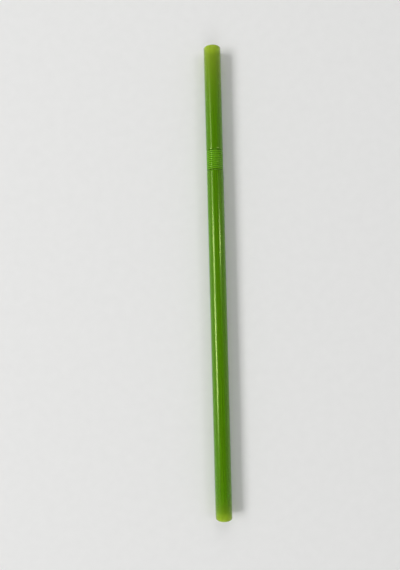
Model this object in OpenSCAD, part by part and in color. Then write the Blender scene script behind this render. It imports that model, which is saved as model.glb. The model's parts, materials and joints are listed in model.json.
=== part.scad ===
// Flexible drinking straw: one thin plastic tube with a folded bellows near its mouth.
// It lies along Y on the plane z = 0, with its mouth towards +Y.
// Lengths are in millimetres and angles in degrees.

/* [Tube] */
// Outside diameter of both plain runs
tube_d = 7; // [5:0.1:12]
// Thickness of the wall, in the plain runs and in the folds
wall = 0.2; // [0.14:0.01:0.24]
// Long run, from its cut end to the first groove of the bellows
foot_run = 146; // [40:1:240]
// Short run, from the last groove of the bellows to its cut end
mouth_run = 43; // [15:1:90]
// Rounding of both edges of a cut end
lip_r = 0.05; // [0.01:0.01:0.09]

/* [Bellows] */
// Number of folds
fold_count = 10; // [3:1:30]
// Length of one fold along the axis, pushed together as the straw is sold
fold_pitch = 0.8; // [0.7:0.02:1.2]
// Width of the flat band on top of each crest
crest_band = 0.2; // [0.05:0.01:0.3]
// Depth of a root below the inside of the plain runs
root_reach = 0.75; // [0.65:0.01:1.2]
// Lean of the folds towards the foot, in which they nest like cups
fold_lean = 22.5; // [0:0.5:40]
// Share of a fold's bends that the crest takes, where the root has the rest
crest_share = 0.52; // [0.45:0.01:0.55]
// Radius at mid wall of the bend where a plain run turns into the bellows
shoulder_r = 0.25; // [0.15:0.01:0.33]
// Radius at mid wall of the gentle curve that leads a plain run into that bend
ease_r = 4; // [1:0.5:8]
// Angle that the gentle curve turns
ease_turn = 12; // [2:1:16]

/* [Hidden] */
$fn = 96;
lime_green = [0.40, 0.60, 0.04];

// Straight steps in one bend of the wall, and in one rounded edge of a cut end
bend_steps = 8;
lip_steps = 3;

half_wall = wall / 2;
tube_r = tube_d / 2;
bore_r = tube_r - wall;
bellows_run = fold_count * fold_pitch;
straw_length = foot_run + bellows_run + mouth_run;

// Bends at mid wall: the flanks are parallel, so a crest, its band and a root fill a pitch
fold_bends = (fold_pitch - crest_band) * cos(fold_lean) / 2;
crest_bend = crest_share * fold_bends;
root_bend = fold_bends - crest_bend;

// Distances of the bends' centres from the axis, where the crests are level with the plain runs
crest_ring = tube_r - half_wall - crest_bend;
root_ring = bore_r - root_reach + half_wall + root_bend;
ease_ring = tube_r - half_wall - ease_r;
shoulder_ring = ease_ring + (ease_r - shoulder_r) * cos(ease_turn);

// Distance along the axis from the centre of a gentle curve to that of the bend after it
ease_run = (ease_r - shoulder_r) * sin(ease_turn);

// Headings of the wall on its way from the foot to the mouth, where 0 points away from the axis
quarter_turn = 90;
along = quarter_turn;
outward = -fold_lean;
inward = outward + 2 * quarter_turn;

// An arc whose heading turns from one angle to another: left about its centre, or right
function arc(centre, radius, from, to, steps) =
    let (turn = sign(to - from))
    [for (i = [0:steps])
        let (heading = from + (to - from) * i / steps)
        centre + turn * radius * [sin(heading), -cos(heading)]];

// One face of the wall through a bend: side 1 is the outer face, and side -1 the inner one
function wall_bend(centre, radius, from, to, side) =
    arc(centre, radius + side * sign(to - from) * half_wall, from, to, bend_steps);

// A run of points without the one that the next run starts with
function but_last(points) = [for (i = [0:len(points) - 2]) points[i]];

// Distance along the axis between the centres of two bends that a leaning flank joins
function flank_rise(first_bend, first_ring, next_bend, next_ring) =
    (first_bend + next_bend) / cos(fold_lean) + (first_ring - next_ring) * tan(fold_lean);

function root_place(i) = foot_run + i * fold_pitch;

function root(i, side) =
    wall_bend([root_ring, root_place(i)], root_bend, inward, outward, side);

// Two bends with the flat band between them
function crest(i, side) =
    let (place = root_place(i) + flank_rise(root_bend, root_ring, crest_bend, crest_ring))
    concat(
        wall_bend([crest_ring, place], crest_bend, outward, along, side),
        wall_bend([crest_ring, place + crest_band], crest_bend, along, inward, side)
    );

function foot_shoulder(side) =
    let (place = root_place(0) - flank_rise(shoulder_r, shoulder_ring, root_bend, root_ring))
    concat(
        but_last(wall_bend([ease_ring, place - ease_run], ease_r, along, along + ease_turn, side)),
        wall_bend([shoulder_ring, place], shoulder_r, along + ease_turn, inward, side)
    );

function mouth_shoulder(side) =
    let (place = root_place(fold_count) + flank_rise(root_bend, root_ring, shoulder_r, shoulder_ring))
    concat(
        but_last(wall_bend([shoulder_ring, place], shoulder_r, outward, along - ease_turn, side)),
        wall_bend([ease_ring, place + ease_run], ease_r, along - ease_turn, along, side)
    );

// One face of the wall from the foot's shoulder, through every fold, to the mouth's shoulder
function bellows_face(side) = concat(
    foot_shoulder(side),
    [for (i = [0:fold_count - 1]) each concat(root(i, side), crest(i, side))],
    root(fold_count, side),
    mouth_shoulder(side)
);

// One rounded edge of a cut end, where quarter 0 is the foot's outer edge and the rest follow round
function lip(centre, quarter) =
    arc(centre, lip_r, quarter * quarter_turn, (quarter + 1) * quarter_turn, lip_steps);

function reversed(points) = [for (i = [len(points) - 1:-1:0]) points[i]];

// Section through the wall: distance from the axis, then distance from the foot's cut end
function wall_section() = concat(
    lip([tube_r - lip_r, lip_r], 0),
    bellows_face(1),
    lip([tube_r - lip_r, straw_length - lip_r], 1),
    lip([bore_r + lip_r, straw_length - lip_r], 2),
    reversed(bellows_face(-1)),
    lip([bore_r + lip_r, lip_r], 3)
);

// The whole straw, which lies on its plain runs and on the crests of its bellows
module straw() {
    color(lime_green)
    translate([0, -straw_length / 2, tube_r])
    rotate([-quarter_turn, 0, 0])
    rotate_extrude()
    polygon(wall_section());
}

straw();
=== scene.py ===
"""Looks of a flexible drinking straw: a thin lime green tube with a folded bellows."""

import json
import math
import random

import bmesh
import bpy
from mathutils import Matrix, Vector


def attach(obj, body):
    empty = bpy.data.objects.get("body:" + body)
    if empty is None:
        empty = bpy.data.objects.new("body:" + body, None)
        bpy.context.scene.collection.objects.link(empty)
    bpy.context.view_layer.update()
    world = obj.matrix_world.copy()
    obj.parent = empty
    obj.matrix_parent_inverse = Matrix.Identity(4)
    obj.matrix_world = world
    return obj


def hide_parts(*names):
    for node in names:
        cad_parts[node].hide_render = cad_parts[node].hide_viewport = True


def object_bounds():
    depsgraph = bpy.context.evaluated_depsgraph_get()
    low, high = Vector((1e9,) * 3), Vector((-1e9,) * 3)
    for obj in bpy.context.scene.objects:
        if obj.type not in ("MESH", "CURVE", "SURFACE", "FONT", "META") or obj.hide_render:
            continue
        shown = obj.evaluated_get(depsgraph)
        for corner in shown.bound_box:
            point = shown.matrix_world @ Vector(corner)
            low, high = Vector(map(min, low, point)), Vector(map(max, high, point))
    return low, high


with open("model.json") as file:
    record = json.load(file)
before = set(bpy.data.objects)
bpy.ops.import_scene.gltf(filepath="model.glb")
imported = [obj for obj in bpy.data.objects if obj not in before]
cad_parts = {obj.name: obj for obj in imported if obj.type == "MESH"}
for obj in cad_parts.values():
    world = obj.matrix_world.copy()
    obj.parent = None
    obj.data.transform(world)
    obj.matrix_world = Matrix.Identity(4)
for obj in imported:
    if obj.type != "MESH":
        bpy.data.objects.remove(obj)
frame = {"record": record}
cad_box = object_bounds()

MM = 0.001
QUARTER = 90.0
MOUNTS = {mount["name"]: mount for mount in frame["record"]["mounts"]}

# Sizes of the straw in millimetres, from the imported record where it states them
TUBE_R = MOUNTS["foot_tube"]["dims"]["r_mm"]
BORE_R = MOUNTS["foot_bore"]["dims"]["r_mm"]
AXIS_Z = MOUNTS["foot_tube"]["pos_m"][2] / MM
LENGTH = (cad_box[1].y - cad_box[0].y) / MM
WALL = TUBE_R - BORE_R
LIP_R = 0.05
FOOT_RUN = 146.0
FOLD_COUNT = 10
FOLD_PITCH = 0.8
CREST_BAND = 0.2
ROOT_REACH = 0.75
FOLD_LEAN = 22.5
CREST_SHARE = 0.52
SHOULDER_R = 0.25
EASE_R = 4.0
EASE_TURN = 12.0
BELLOWS_RUN = FOLD_COUNT * FOLD_PITCH

# Steps of the mesh: sides around, rings along the plain runs, and points in each bend
SIDES = 96
RING_STEP = 2.0
BEND_STEPS = 8
LIP_STEPS = 3

# Small faults of a real straw: out of round, folds of unlike height, and folds that lean
SEED = 11
OVAL_SHARE = 0.003
OVAL_TURN_LENGTH = 90.0
CREST_SHORT = 0.03
FOLD_TILT = math.radians(0.25)


def arc(centre, radius, start, stop, steps):
    """Points of a bend whose heading turns from one angle to another, in degrees."""
    turn = math.copysign(1.0, stop - start)
    points = []
    for i in range(steps + 1):
        heading = math.radians(start + (stop - start) * i / steps)
        points.append((
            centre[0] + turn * radius * math.sin(heading),
            centre[1] - turn * radius * math.cos(heading),
        ))
    return points


def flank_rise(first_bend, first_ring, next_bend, next_ring):
    """Distance along the axis between the centres of two bends that a leaning flank joins."""
    lean = math.radians(FOLD_LEAN)
    return (first_bend + next_bend) / math.cos(lean) + (first_ring - next_ring) * math.tan(lean)


def bellows_face(side, crest_drops):
    """One face of the wall through the bellows, as (radius, place along the axis, fold)."""
    half = WALL / 2
    fold_bends = (FOLD_PITCH - CREST_BAND) * math.cos(math.radians(FOLD_LEAN)) / 2
    crest_bend = CREST_SHARE * fold_bends
    root_bend = fold_bends - crest_bend
    crest_ring = TUBE_R - half - crest_bend
    root_ring = BORE_R - ROOT_REACH + half + root_bend
    ease_ring = TUBE_R - half - EASE_R
    shoulder_ring = ease_ring + (EASE_R - SHOULDER_R) * math.cos(math.radians(EASE_TURN))
    ease_run = (EASE_R - SHOULDER_R) * math.sin(math.radians(EASE_TURN))
    outward, along = -FOLD_LEAN, QUARTER
    inward = outward + 2 * QUARTER

    def bend(ring, place, radius, start, stop, fold):
        offset = side * math.copysign(half, stop - start)
        curve = arc((ring, place), radius + offset, start, stop, BEND_STEPS)
        return [(r, y, fold) for r, y in curve]

    place = FOOT_RUN - flank_rise(SHOULDER_R, shoulder_ring, root_bend, root_ring)
    points = bend(ease_ring, place - ease_run, EASE_R, along, along + EASE_TURN, None)[:-1]
    points += bend(shoulder_ring, place, SHOULDER_R, along + EASE_TURN, inward, None)
    for i in range(FOLD_COUNT):
        place = FOOT_RUN + i * FOLD_PITCH
        ring = crest_ring - crest_drops[i]
        points += bend(root_ring, place, root_bend, inward, outward, i)
        place += flank_rise(root_bend, root_ring, crest_bend, ring)
        points += bend(ring, place, crest_bend, outward, along, i)
        points += bend(ring, place + CREST_BAND, crest_bend, along, inward, i)
    place = FOOT_RUN + BELLOWS_RUN
    points += bend(root_ring, place, root_bend, inward, outward, FOLD_COUNT - 1)
    place += flank_rise(root_bend, root_ring, SHOULDER_R, shoulder_ring)
    points += bend(shoulder_ring, place, SHOULDER_R, outward, along - EASE_TURN, None)[:-1]
    return points + bend(ease_ring, place + ease_run, EASE_R, along - EASE_TURN, along, None)


def plain_run(radius, start, stop):
    """Rings of a plain run between two places, without the two places themselves."""
    count = max(1, round(abs(stop - start) / RING_STEP))
    return [(radius, start + (stop - start) * i / count, None) for i in range(1, count)]


def wall_section(crest_drops):
    """The closed section of the wall, from the foot's outer edge round to its inner edge."""
    outer, inner = bellows_face(1, crest_drops), bellows_face(-1, crest_drops)
    inner.reverse()

    def lip(radius, place, quarter):
        edge = arc((radius, place), LIP_R, quarter * QUARTER, (quarter + 1) * QUARTER, LIP_STEPS)
        return [(r, y, None) for r, y in edge]

    near, far = LIP_R, LENGTH - LIP_R
    outer_lip, inner_lip = TUBE_R - LIP_R, BORE_R + LIP_R
    return (
        lip(outer_lip, near, 0) + plain_run(TUBE_R, near, outer[0][1])
        + outer + plain_run(TUBE_R, outer[-1][1], far)
        + lip(outer_lip, far, 1) + lip(inner_lip, far, 2)
        + plain_run(BORE_R, far, inner[0][1]) + inner
        + plain_run(BORE_R, inner[-1][1], near) + lip(inner_lip, near, 3)
    )


def straw_mesh():
    """The straw's wall turned about its axis, with the small faults of a real one."""
    rng = random.Random(SEED)
    crest_drops = [rng.uniform(0, CREST_SHORT) for _ in range(FOLD_COUNT)]
    tilts = [(rng.uniform(0, FOLD_TILT), rng.uniform(0, math.tau)) for _ in range(FOLD_COUNT)]
    oval_phase = rng.uniform(0, math.tau)
    section = wall_section(crest_drops)
    corners, faces = [], []
    for radius, place, fold in section:
        oval_turn = oval_phase + math.pi * place / OVAL_TURN_LENGTH
        for k in range(SIDES):
            angle = math.tau * k / SIDES
            r = radius * (1 - OVAL_SHARE * math.sin(angle - oval_turn) ** 2)
            y = place - LENGTH / 2
            if fold is not None:
                tilt, towards = tilts[fold]
                y += r * math.tan(tilt) * math.cos(angle - towards)
            x, z = r * math.cos(angle), AXIS_Z + r * math.sin(angle)
            corners.append((x * MM, y * MM, z * MM))
    count = len(section)
    for i in range(count):
        a, b = i * SIDES, (i + 1) % count * SIDES
        for k in range(SIDES):
            after = (k + 1) % SIDES
            faces.append((a + k, a + after, b + after, b + k))
    mesh = bpy.data.meshes.new("straw_wall")
    mesh.from_pydata(corners, [], faces)
    work = bmesh.new()
    work.from_mesh(mesh)
    bmesh.ops.recalc_face_normals(work, faces=work.faces)
    work.to_mesh(mesh)
    work.free()
    mesh.shade_smooth()
    return mesh


# Straw's plastic: linear colours, sizes in metres, and bands of a noise's values
PLASTIC_DEEP = (0.165, 0.465, 0.004, 1)
PLASTIC_LIGHT = (0.205, 0.52, 0.006, 1)
# Bellows colours: the groove colour is painted shade; the folds' paler colour is partly stress
# whitening and partly painted light
FOLD_GROOVE_SHADE = (0.10, 0.34, 0.003, 1)
FOLD_GREEN = (0.21, 0.58, 0.005, 1)
# Painted light at the ends: the pale colour that both ends fade to, as if lit through the open
# ends
END_PAINTED_GLOW = (0.52, 0.66, 0.05, 1)
CUT_PALE = (0.74, 0.84, 0.36, 1)
ABSORB_COLOUR = (0.60, 0.80, 0.02, 1)
ABSORB_DENSITY = 2000.0
TRANSMISSION = 0.60
FOLD_TRANSMISSION = 0.25
PLASTIC_IOR = 1.49
MIRROR_TINT = (0.92, 1.0, 0.45, 1)
ROUGHNESS = (0.14, 0.22)
ROUGHNESS_BAND = (0.25, 0.75)
STREAK_BAND = (0.3, 0.7)
STREAK_DETAIL = 3.0
STREAK_WIDTH = 0.25 * MM
STREAK_LENGTH = 60.0 * MM
STREAK_DEPTH = 0.0006 * MM
GRAIN_DETAIL = 2.0
GRAIN_SIZE = 0.5 * MM
GRAIN_DEPTH = 0.0004 * MM
FOLD_EDGE = 0.3 * MM
GROOVE_DEPTH = 0.10 * MM
MOUTH_FADE = 43.0 * MM
FOOT_FADE = 14.0 * MM
FADE_POWER = 2.5
END_GLOW_SHARE = 0.9
CUT_DEPTH = 0.35 * MM
CUT_WHITENING = 0.7

# Places of a mix node's sockets for colours: its share and two colours, and its result
MIX_INPUTS = (0, 6, 7)
MIX_OUTPUT = 2


class Nodes:
    """Adds nodes to the tree of a material or a world, and links them."""

    def __init__(self, owner):
        owner.use_nodes = True
        self.tree = owner.node_tree
        self.tree.nodes.clear()

    def feed(self, socket, value):
        if isinstance(value, bpy.types.NodeSocket):
            self.tree.links.new(value, socket)
        else:
            socket.default_value = value

    def add(self, kind, inputs=None, **settings):
        node = self.tree.nodes.new(kind)
        for name, value in settings.items():
            setattr(node, name, value)
        for name, value in (inputs or {}).items():
            self.feed(node.inputs[name], value)
        return node

    def maths(self, operation, first, second=0.0):
        inputs = {0: first, 1: second}
        return self.add("ShaderNodeMath", inputs, operation=operation).outputs["Value"]

    def vector(self, operation, first, second=(0, 0, 0)):
        node = self.add("ShaderNodeVectorMath", {0: first, 1: second}, operation=operation)
        return node.outputs["Value" if operation == "LENGTH" else "Vector"]

    def noise(self, place, detail):
        inputs = {"Vector": place, "Scale": 1.0, "Detail": detail}
        return self.add("ShaderNodeTexNoise", inputs).outputs["Fac"]

    def ramp(self, value, start, stop, low=0.0, high=1.0):
        inputs = {
            "Value": value, "From Min": start, "From Max": stop, "To Min": low, "To Max": high,
        }
        return self.add("ShaderNodeMapRange", inputs).outputs["Result"]

    def bump(self, height, depth, **more):
        inputs = {"Strength": 1.0, "Distance": depth, "Height": height, **more}
        return self.add("ShaderNodeBump", inputs).outputs["Normal"]

    def mix(self, share, first, second):
        node = self.add("ShaderNodeMix", data_type="RGBA")
        for i, value in zip(MIX_INPUTS, (share, first, second)):
            self.feed(node.inputs[i], value)
        return node.outputs[MIX_OUTPUT]


def plastic():
    """Milky lime green plastic with drawn lines, with painted shade in the grooves and painted
    light that makes the ends paler.
    """
    material = bpy.data.materials.new("lime_plastic")
    n = Nodes(material)
    place = n.add("ShaderNodeTexCoord").outputs["Object"]
    centred = n.vector("SUBTRACT", place, (0, 0, AXIS_Z * MM))
    along = n.add("ShaderNodeSeparateXYZ", {0: place}).outputs["Y"]

    streak_scale = (1 / STREAK_WIDTH, 1 / STREAK_LENGTH, 1 / STREAK_WIDTH)
    streaks = n.noise(n.vector("MULTIPLY", centred, streak_scale), STREAK_DETAIL)
    grain = n.noise(n.vector("MULTIPLY", centred, (1 / GRAIN_SIZE,) * 3), GRAIN_DETAIL)

    colour = n.mix(n.ramp(streaks, *STREAK_BAND), PLASTIC_DEEP, PLASTIC_LIGHT)
    end = LENGTH / 2 * MM
    bellows = (FOOT_RUN + BELLOWS_RUN / 2) * MM - end
    reach = BELLOWS_RUN / 2 * MM
    from_bellows = n.maths("ABSOLUTE", n.maths("SUBTRACT", along, bellows))
    folded = n.ramp(from_bellows, reach, reach - FOLD_EDGE)
    across = n.vector("MULTIPLY", centred, (1, 0, 1))
    from_axis = n.vector("LENGTH", across)
    # Painted shade: the fold colour darkens from the crests down into the grooves
    crest = n.ramp(from_axis, TUBE_R * MM - GROOVE_DEPTH, TUBE_R * MM)
    colour = n.mix(folded, colour, n.mix(crest, FOLD_GROOVE_SHADE, FOLD_GREEN))
    # Painted light: the colour pales towards both open ends
    at_mouth = n.ramp(along, end - MOUTH_FADE, end)
    at_foot = n.ramp(along, FOOT_FADE - end, -end)
    end_glow = n.maths("POWER", n.maths("MAXIMUM", at_mouth, at_foot), FADE_POWER)
    colour = n.mix(n.maths("MULTIPLY", end_glow, END_GLOW_SHARE), colour, END_PAINTED_GLOW)
    cut = n.ramp(n.maths("ABSOLUTE", along), end - CUT_DEPTH, end, 0.0, CUT_WHITENING)
    colour = n.mix(cut, colour, CUT_PALE)

    clear = n.ramp(folded, 0.0, 1.0, TRANSMISSION, FOLD_TRANSMISSION)
    lines = n.bump(streaks, STREAK_DEPTH)
    surface = n.add("ShaderNodeBsdfPrincipled", {
        "Base Color": colour,
        "Roughness": n.ramp(streaks, *ROUGHNESS_BAND, *ROUGHNESS),
        "IOR": PLASTIC_IOR,
        "Specular Tint": MIRROR_TINT,
        "Transmission Weight": clear,
        "Normal": n.bump(grain, GRAIN_DEPTH, Normal=lines),
    })
    absorption = {"Color": ABSORB_COLOUR, "Density": ABSORB_DENSITY}
    inside = n.add("ShaderNodeVolumeAbsorption", absorption)
    n.add("ShaderNodeOutputMaterial", {"Surface": surface.outputs[0], "Volume": inside.outputs[0]})
    return material


# Floor, world and lamps: metres, degrees, linear colours and radiances
FLOOR_R = 1.6
FLOOR_SIDES = 96
FLOOR_PALE = (0.86, 0.86, 0.85, 1)
FLOOR_PALER = (0.90, 0.90, 0.89, 1)
FLOOR_GRAIN = 4.0 * MM
FLOOR_DETAIL = 4.0
FLOOR_ROUGHNESS = 0.85
SKY_HORIZON = (0.48, 0.48, 0.48, 1)
SKY_ABOVE = (0.02, 0.02, 0.02, 1)
SKY_EDGE = (0.50, 0.75)
LAMPS = {
    # name: turn from +X, lean from straight up, distance, place along Y, width, length, radiance
    "key": (180.0, 49.5, 2.0, -0.365, 0.58, 0.60, 9.5),
    "key_short": (180.0, 49.5, 2.0, 0.19, 0.58, 0.27, 9.5),
    "key_wing": (180.0, 49.5, 2.1, 0.17, 0.58, 1.67, 4.0),
    "side": (0.0, 40.0, 2.0, 0.225, 0.60, 0.16, 16.0),
    "back": (90.0, 55.0, 2.0, 0.0, 1.2, 1.2, 1.7),
    "front": (270.0, 55.0, 2.0, 0.0, 1.2, 1.2, 1.4),
}


def floor_piece():
    """A wide round pale floor with a faint mottle."""
    mesh = bpy.data.meshes.new("floor")
    angles = [math.tau * k / FLOOR_SIDES for k in range(FLOOR_SIDES)]
    rim = [(FLOOR_R * math.cos(angle), FLOOR_R * math.sin(angle), 0) for angle in angles]
    mesh.from_pydata(rim, [], [tuple(range(FLOOR_SIDES))])
    floor = bpy.data.objects.new("floor", mesh)
    bpy.context.scene.collection.objects.link(floor)
    material = bpy.data.materials.new("pale_floor")
    n = Nodes(material)
    place = n.add("ShaderNodeTexCoord").outputs["Object"]
    mottle = n.noise(n.vector("MULTIPLY", place, (1 / FLOOR_GRAIN,) * 3), FLOOR_DETAIL)
    surface = n.add("ShaderNodeBsdfPrincipled", {
        "Base Color": n.mix(mottle, FLOOR_PALE, FLOOR_PALER),
        "Roughness": FLOOR_ROUGHNESS,
    })
    n.add("ShaderNodeOutputMaterial", {"Surface": surface.outputs[0]})
    mesh.materials.append(material)


def studio_world():
    """A grey horizon that darkens upwards, so that the straw mirrors little but the lamps."""
    world = bpy.data.worlds.new("studio")
    bpy.context.scene.world = world
    n = Nodes(world)
    place = n.add("ShaderNodeTexCoord").outputs["Generated"]
    height = n.add("ShaderNodeSeparateXYZ", {0: place}).outputs["Z"]
    colour = n.mix(n.ramp(height, *SKY_EDGE), SKY_HORIZON, SKY_ABOVE)
    sky = n.add("ShaderNodeBackground", {"Color": colour, "Strength": 1.0})
    n.add("ShaderNodeOutputWorld", {"Surface": sky.outputs[0]})


def add_lamp(name, turn, lean, distance, along, width, length, radiance):
    """A soft rectangular lamp that faces the straw's axis."""
    data = bpy.data.lights.new(name, "AREA")
    data.shape = "RECTANGLE"
    data.size, data.size_y = width, length
    data.energy = radiance * math.pi * width * length
    lamp = bpy.data.objects.new(name, data)
    bpy.context.scene.collection.objects.link(lamp)
    lamp.rotation_euler = (0, math.radians(lean), math.radians(turn))
    outward = lamp.rotation_euler.to_matrix() @ Vector((0, 0, distance))
    lamp.location = Vector((0, along, AXIS_Z * MM)) + outward


# Camera: what the photo shows, in its pixels from the top left
IMAGE_WIDTH, IMAGE_HEIGHT = 400, 570
MOUTH_PIXEL = Vector((212.2, 44.4))
FOOT_PIXEL = Vector((224.5, 522.3))
FOCAL_PIXELS = 433.0


def add_camera():
    """A camera that looks straight down, placed so that the straw's ends come at their pixels."""
    data = bpy.data.cameras.new("camera")
    data.lens = data.sensor_width * FOCAL_PIXELS / max(IMAGE_WIDTH, IMAGE_HEIGHT)
    camera = bpy.data.objects.new("camera", data)
    bpy.context.scene.collection.objects.link(camera)
    bpy.context.scene.camera = camera
    run = FOOT_PIXEL - MOUTH_PIXEL
    pixel = LENGTH * MM / run.length
    turn = math.atan2(-run.x, run.y)
    middle = (FOOT_PIXEL + MOUTH_PIXEL) / 2 - Vector((IMAGE_WIDTH, IMAGE_HEIGHT)) / 2
    right, up = middle.x * pixel, -middle.y * pixel
    camera.location = (
        -right * math.cos(turn) + up * math.sin(turn),
        -right * math.sin(turn) - up * math.cos(turn),
        (AXIS_Z + TUBE_R) * MM + FOCAL_PIXELS * pixel,
    )
    camera.rotation_euler = (0, 0, turn)
    data.clip_start = MM


straw = bpy.data.objects.new("straw_visual", straw_mesh())
bpy.context.scene.collection.objects.link(straw)
straw.data.materials.append(plastic())
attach(straw, "root")
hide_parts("straw")

floor_piece()
studio_world()
for name, settings in LAMPS.items():
    add_lamp(name, *settings)
add_camera()
bpy.context.scene.view_settings.view_transform = "Standard"
